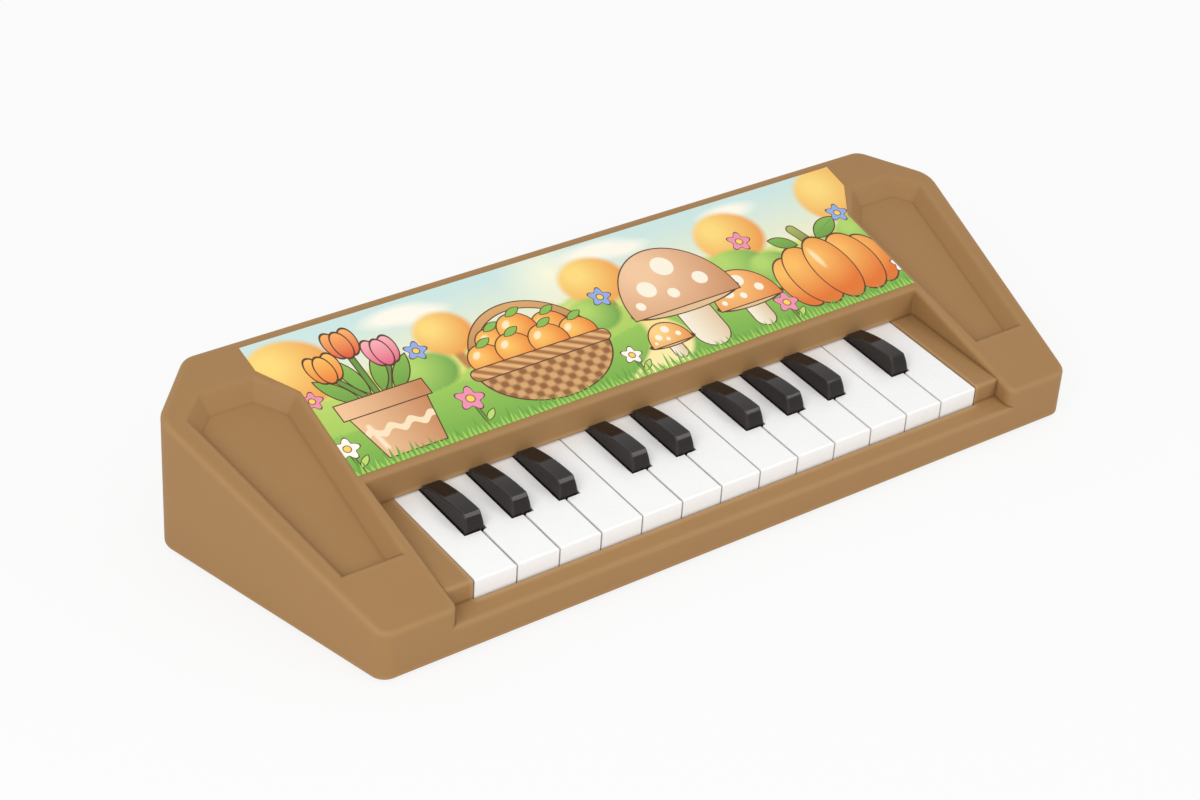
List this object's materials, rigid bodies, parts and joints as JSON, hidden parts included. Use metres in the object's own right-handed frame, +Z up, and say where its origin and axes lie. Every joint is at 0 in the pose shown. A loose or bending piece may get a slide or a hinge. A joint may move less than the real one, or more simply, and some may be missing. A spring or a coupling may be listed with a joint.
{
  "type": "toy piano",
  "caption": "Small battery toy piano: sloped brown plastic case with chamfered back corners, cheek pockets, printed panel and a row of glossy white and black sprung keys.",
  "frame": {"origin": "on the table under the middle of the case, in the plane of the feet", "axes": "+X along the keyboard to the player's right, +Y away from the player, +Z up"},
  "size_m": [0.2998, 0.108, 0.0503],
  "materials": {
    "case_plastic": "fine matte moulded",
    "base_plastic": "fine matte moulded",
    "printed_label": "printed with a satin film",
    "white_key_plastic": "glossy",
    "black_key_plastic": "glossy",
    "carrier_plastic": "plain moulded",
    "rod_steel": "drawn wire",
    "felt": "pressed felt",
    "key_board": "paper laminate",
    "dome_rubber": "moulded silicone",
    "sound_board": "masked laminate",
    "chip_resin": "poured resin",
    "speaker_steel": "plated sheet",
    "magnet": "pressed ferrite",
    "cone_paper": "pulp",
    "screw_steel": "zinc plated",
    "cell_wrap": "printed wrap",
    "contact_metal": "nickel plated spring sheet",
    "switch_shell": "folded sheet",
    "switch_plastic": "moulded",
    "foot_rubber": "moulded",
    "wire_insulation": "extruded sleeve",
    "ribbon_insulation": "extruded flat"
  },
  "bodies": {
    "case": {"upper_case": "case_plastic", "base_plate": "base_plastic", "artwork_label": "printed_label", "key_carrier": "carrier_plastic", "key_pivot_rod": "rod_steel", "key_downstop_felt": "felt", "key_upstop_felt": "felt", "key_contact_board": "key_board", "contact_rubber_strip": "dome_rubber", "sound_board": "sound_board", "sound_chip": "chip_resin", "speaker_frame": "speaker_steel", "speaker_magnet": "magnet", "speaker_cone": "cone_paper", "speaker_screws": "screw_steel", "case_screws": "screw_steel", "carrier_screws": "screw_steel", "sound_board_screws": "screw_steel", "battery_cells": "cell_wrap", "battery_contacts": "contact_metal", "power_switch_body": "switch_shell", "rubber_feet": "foot_rubber", "speaker_wires": "wire_insulation", "battery_wires": "wire_insulation", "switch_wire": "wire_insulation", "ribbon_cable": "ribbon_insulation"},
    "white_key_f3": {"white_key_f3": "white_key_plastic"},
    "white_key_g3": {"white_key_g3": "white_key_plastic"},
    "white_key_a3": {"white_key_a3": "white_key_plastic"},
    "white_key_b3": {"white_key_b3": "white_key_plastic"},
    "white_key_c4": {"white_key_c4": "white_key_plastic"},
    "white_key_d4": {"white_key_d4": "white_key_plastic"},
    "white_key_e4": {"white_key_e4": "white_key_plastic"},
    "white_key_f4": {"white_key_f4": "white_key_plastic"},
    "white_key_g4": {"white_key_g4": "white_key_plastic"},
    "white_key_a4": {"white_key_a4": "white_key_plastic"},
    "white_key_b4": {"white_key_b4": "white_key_plastic"},
    "white_key_c5": {"white_key_c5": "white_key_plastic"},
    "white_key_d5": {"white_key_d5": "white_key_plastic"},
    "black_key_f_sharp3": {"black_key_f_sharp3": "black_key_plastic"},
    "black_key_g_sharp3": {"black_key_g_sharp3": "black_key_plastic"},
    "black_key_a_sharp3": {"black_key_a_sharp3": "black_key_plastic"},
    "black_key_c_sharp4": {"black_key_c_sharp4": "black_key_plastic"},
    "black_key_d_sharp4": {"black_key_d_sharp4": "black_key_plastic"},
    "black_key_f_sharp4": {"black_key_f_sharp4": "black_key_plastic"},
    "black_key_g_sharp4": {"black_key_g_sharp4": "black_key_plastic"},
    "black_key_a_sharp4": {"black_key_a_sharp4": "black_key_plastic"},
    "black_key_c_sharp5": {"black_key_c_sharp5": "black_key_plastic"},
    "battery_door": {"battery_door": "base_plastic", "battery_door_screws": "screw_steel"},
    "switch_knob": {"power_switch_knob": "switch_plastic"}
  },
  "joints": [
    {"name": "white_key_f3_press", "type": "hinge", "parent": "case", "child": "white_key_f3", "pos_m": [0, 0.012, 0.015], "axis": [1, 0, 0], "range_deg": [0, 3.4], "stiffness_Nm_per_rad": 0.5, "springref_deg": -3.44, "deforming": ["contact_rubber_strip"]},
    {"name": "white_key_g3_press", "type": "hinge", "parent": "case", "child": "white_key_g3", "pos_m": [0, 0.012, 0.015], "axis": [1, 0, 0], "range_deg": [0, 3.4], "stiffness_Nm_per_rad": 0.5, "springref_deg": -3.44, "deforming": ["contact_rubber_strip"]},
    {"name": "white_key_a3_press", "type": "hinge", "parent": "case", "child": "white_key_a3", "pos_m": [0, 0.012, 0.015], "axis": [1, 0, 0], "range_deg": [0, 3.4], "stiffness_Nm_per_rad": 0.5, "springref_deg": -3.44, "deforming": ["contact_rubber_strip"]},
    {"name": "white_key_b3_press", "type": "hinge", "parent": "case", "child": "white_key_b3", "pos_m": [0, 0.012, 0.015], "axis": [1, 0, 0], "range_deg": [0, 3.4], "stiffness_Nm_per_rad": 0.5, "springref_deg": -3.44, "deforming": ["contact_rubber_strip"]},
    {"name": "white_key_c4_press", "type": "hinge", "parent": "case", "child": "white_key_c4", "pos_m": [0, 0.012, 0.015], "axis": [1, 0, 0], "range_deg": [0, 3.4], "stiffness_Nm_per_rad": 0.5, "springref_deg": -3.44, "deforming": ["contact_rubber_strip"]},
    {"name": "white_key_d4_press", "type": "hinge", "parent": "case", "child": "white_key_d4", "pos_m": [0, 0.012, 0.015], "axis": [1, 0, 0], "range_deg": [0, 3.4], "stiffness_Nm_per_rad": 0.5, "springref_deg": -3.44, "deforming": ["contact_rubber_strip"]},
    {"name": "white_key_e4_press", "type": "hinge", "parent": "case", "child": "white_key_e4", "pos_m": [0, 0.012, 0.015], "axis": [1, 0, 0], "range_deg": [0, 3.4], "stiffness_Nm_per_rad": 0.5, "springref_deg": -3.44, "deforming": ["contact_rubber_strip"]},
    {"name": "white_key_f4_press", "type": "hinge", "parent": "case", "child": "white_key_f4", "pos_m": [0, 0.012, 0.015], "axis": [1, 0, 0], "range_deg": [0, 3.4], "stiffness_Nm_per_rad": 0.5, "springref_deg": -3.44, "deforming": ["contact_rubber_strip"]},
    {"name": "white_key_g4_press", "type": "hinge", "parent": "case", "child": "white_key_g4", "pos_m": [0, 0.012, 0.015], "axis": [1, 0, 0], "range_deg": [0, 3.4], "stiffness_Nm_per_rad": 0.5, "springref_deg": -3.44, "deforming": ["contact_rubber_strip"]},
    {"name": "white_key_a4_press", "type": "hinge", "parent": "case", "child": "white_key_a4", "pos_m": [0, 0.012, 0.015], "axis": [1, 0, 0], "range_deg": [0, 3.4], "stiffness_Nm_per_rad": 0.5, "springref_deg": -3.44, "deforming": ["contact_rubber_strip"]},
    {"name": "white_key_b4_press", "type": "hinge", "parent": "case", "child": "white_key_b4", "pos_m": [0, 0.012, 0.015], "axis": [1, 0, 0], "range_deg": [0, 3.4], "stiffness_Nm_per_rad": 0.5, "springref_deg": -3.44, "deforming": ["contact_rubber_strip"]},
    {"name": "white_key_c5_press", "type": "hinge", "parent": "case", "child": "white_key_c5", "pos_m": [0, 0.012, 0.015], "axis": [1, 0, 0], "range_deg": [0, 3.4], "stiffness_Nm_per_rad": 0.5, "springref_deg": -3.44, "deforming": ["contact_rubber_strip"]},
    {"name": "white_key_d5_press", "type": "hinge", "parent": "case", "child": "white_key_d5", "pos_m": [0, 0.012, 0.015], "axis": [1, 0, 0], "range_deg": [0, 3.4], "stiffness_Nm_per_rad": 0.5, "springref_deg": -3.44, "deforming": ["contact_rubber_strip"]},
    {"name": "black_key_f_sharp3_press", "type": "hinge", "parent": "case", "child": "black_key_f_sharp3", "pos_m": [0, 0.012, 0.015], "axis": [1, 0, 0], "range_deg": [0, 3.4], "stiffness_Nm_per_rad": 0.5, "springref_deg": -3.44, "deforming": ["contact_rubber_strip"]},
    {"name": "black_key_g_sharp3_press", "type": "hinge", "parent": "case", "child": "black_key_g_sharp3", "pos_m": [0, 0.012, 0.015], "axis": [1, 0, 0], "range_deg": [0, 3.4], "stiffness_Nm_per_rad": 0.5, "springref_deg": -3.44, "deforming": ["contact_rubber_strip"]},
    {"name": "black_key_a_sharp3_press", "type": "hinge", "parent": "case", "child": "black_key_a_sharp3", "pos_m": [0, 0.012, 0.015], "axis": [1, 0, 0], "range_deg": [0, 3.4], "stiffness_Nm_per_rad": 0.5, "springref_deg": -3.44, "deforming": ["contact_rubber_strip"]},
    {"name": "black_key_c_sharp4_press", "type": "hinge", "parent": "case", "child": "black_key_c_sharp4", "pos_m": [0, 0.012, 0.015], "axis": [1, 0, 0], "range_deg": [0, 3.4], "stiffness_Nm_per_rad": 0.5, "springref_deg": -3.44, "deforming": ["contact_rubber_strip"]},
    {"name": "black_key_d_sharp4_press", "type": "hinge", "parent": "case", "child": "black_key_d_sharp4", "pos_m": [0, 0.012, 0.015], "axis": [1, 0, 0], "range_deg": [0, 3.4], "stiffness_Nm_per_rad": 0.5, "springref_deg": -3.44, "deforming": ["contact_rubber_strip"]},
    {"name": "black_key_f_sharp4_press", "type": "hinge", "parent": "case", "child": "black_key_f_sharp4", "pos_m": [0, 0.012, 0.015], "axis": [1, 0, 0], "range_deg": [0, 3.4], "stiffness_Nm_per_rad": 0.5, "springref_deg": -3.44, "deforming": ["contact_rubber_strip"]},
    {"name": "black_key_g_sharp4_press", "type": "hinge", "parent": "case", "child": "black_key_g_sharp4", "pos_m": [0, 0.012, 0.015], "axis": [1, 0, 0], "range_deg": [0, 3.4], "stiffness_Nm_per_rad": 0.5, "springref_deg": -3.44, "deforming": ["contact_rubber_strip"]},
    {"name": "black_key_a_sharp4_press", "type": "hinge", "parent": "case", "child": "black_key_a_sharp4", "pos_m": [0, 0.012, 0.015], "axis": [1, 0, 0], "range_deg": [0, 3.4], "stiffness_Nm_per_rad": 0.5, "springref_deg": -3.44, "deforming": ["contact_rubber_strip"]},
    {"name": "black_key_c_sharp5_press", "type": "hinge", "parent": "case", "child": "black_key_c_sharp5", "pos_m": [0, 0.012, 0.015], "axis": [1, 0, 0], "range_deg": [0, 3.4], "stiffness_Nm_per_rad": 0.5, "springref_deg": -3.44, "deforming": ["contact_rubber_strip"]},
    {"name": "battery_door_lift_off", "type": "slide", "parent": "case", "child": "battery_door", "axis": [0, 0, -1], "range_m": [0, 0.03]},
    {"name": "power_switch_slide", "type": "slide", "parent": "case", "child": "switch_knob", "axis": [1, 0, 0], "range_m": [0, 0.004]}
  ]
}
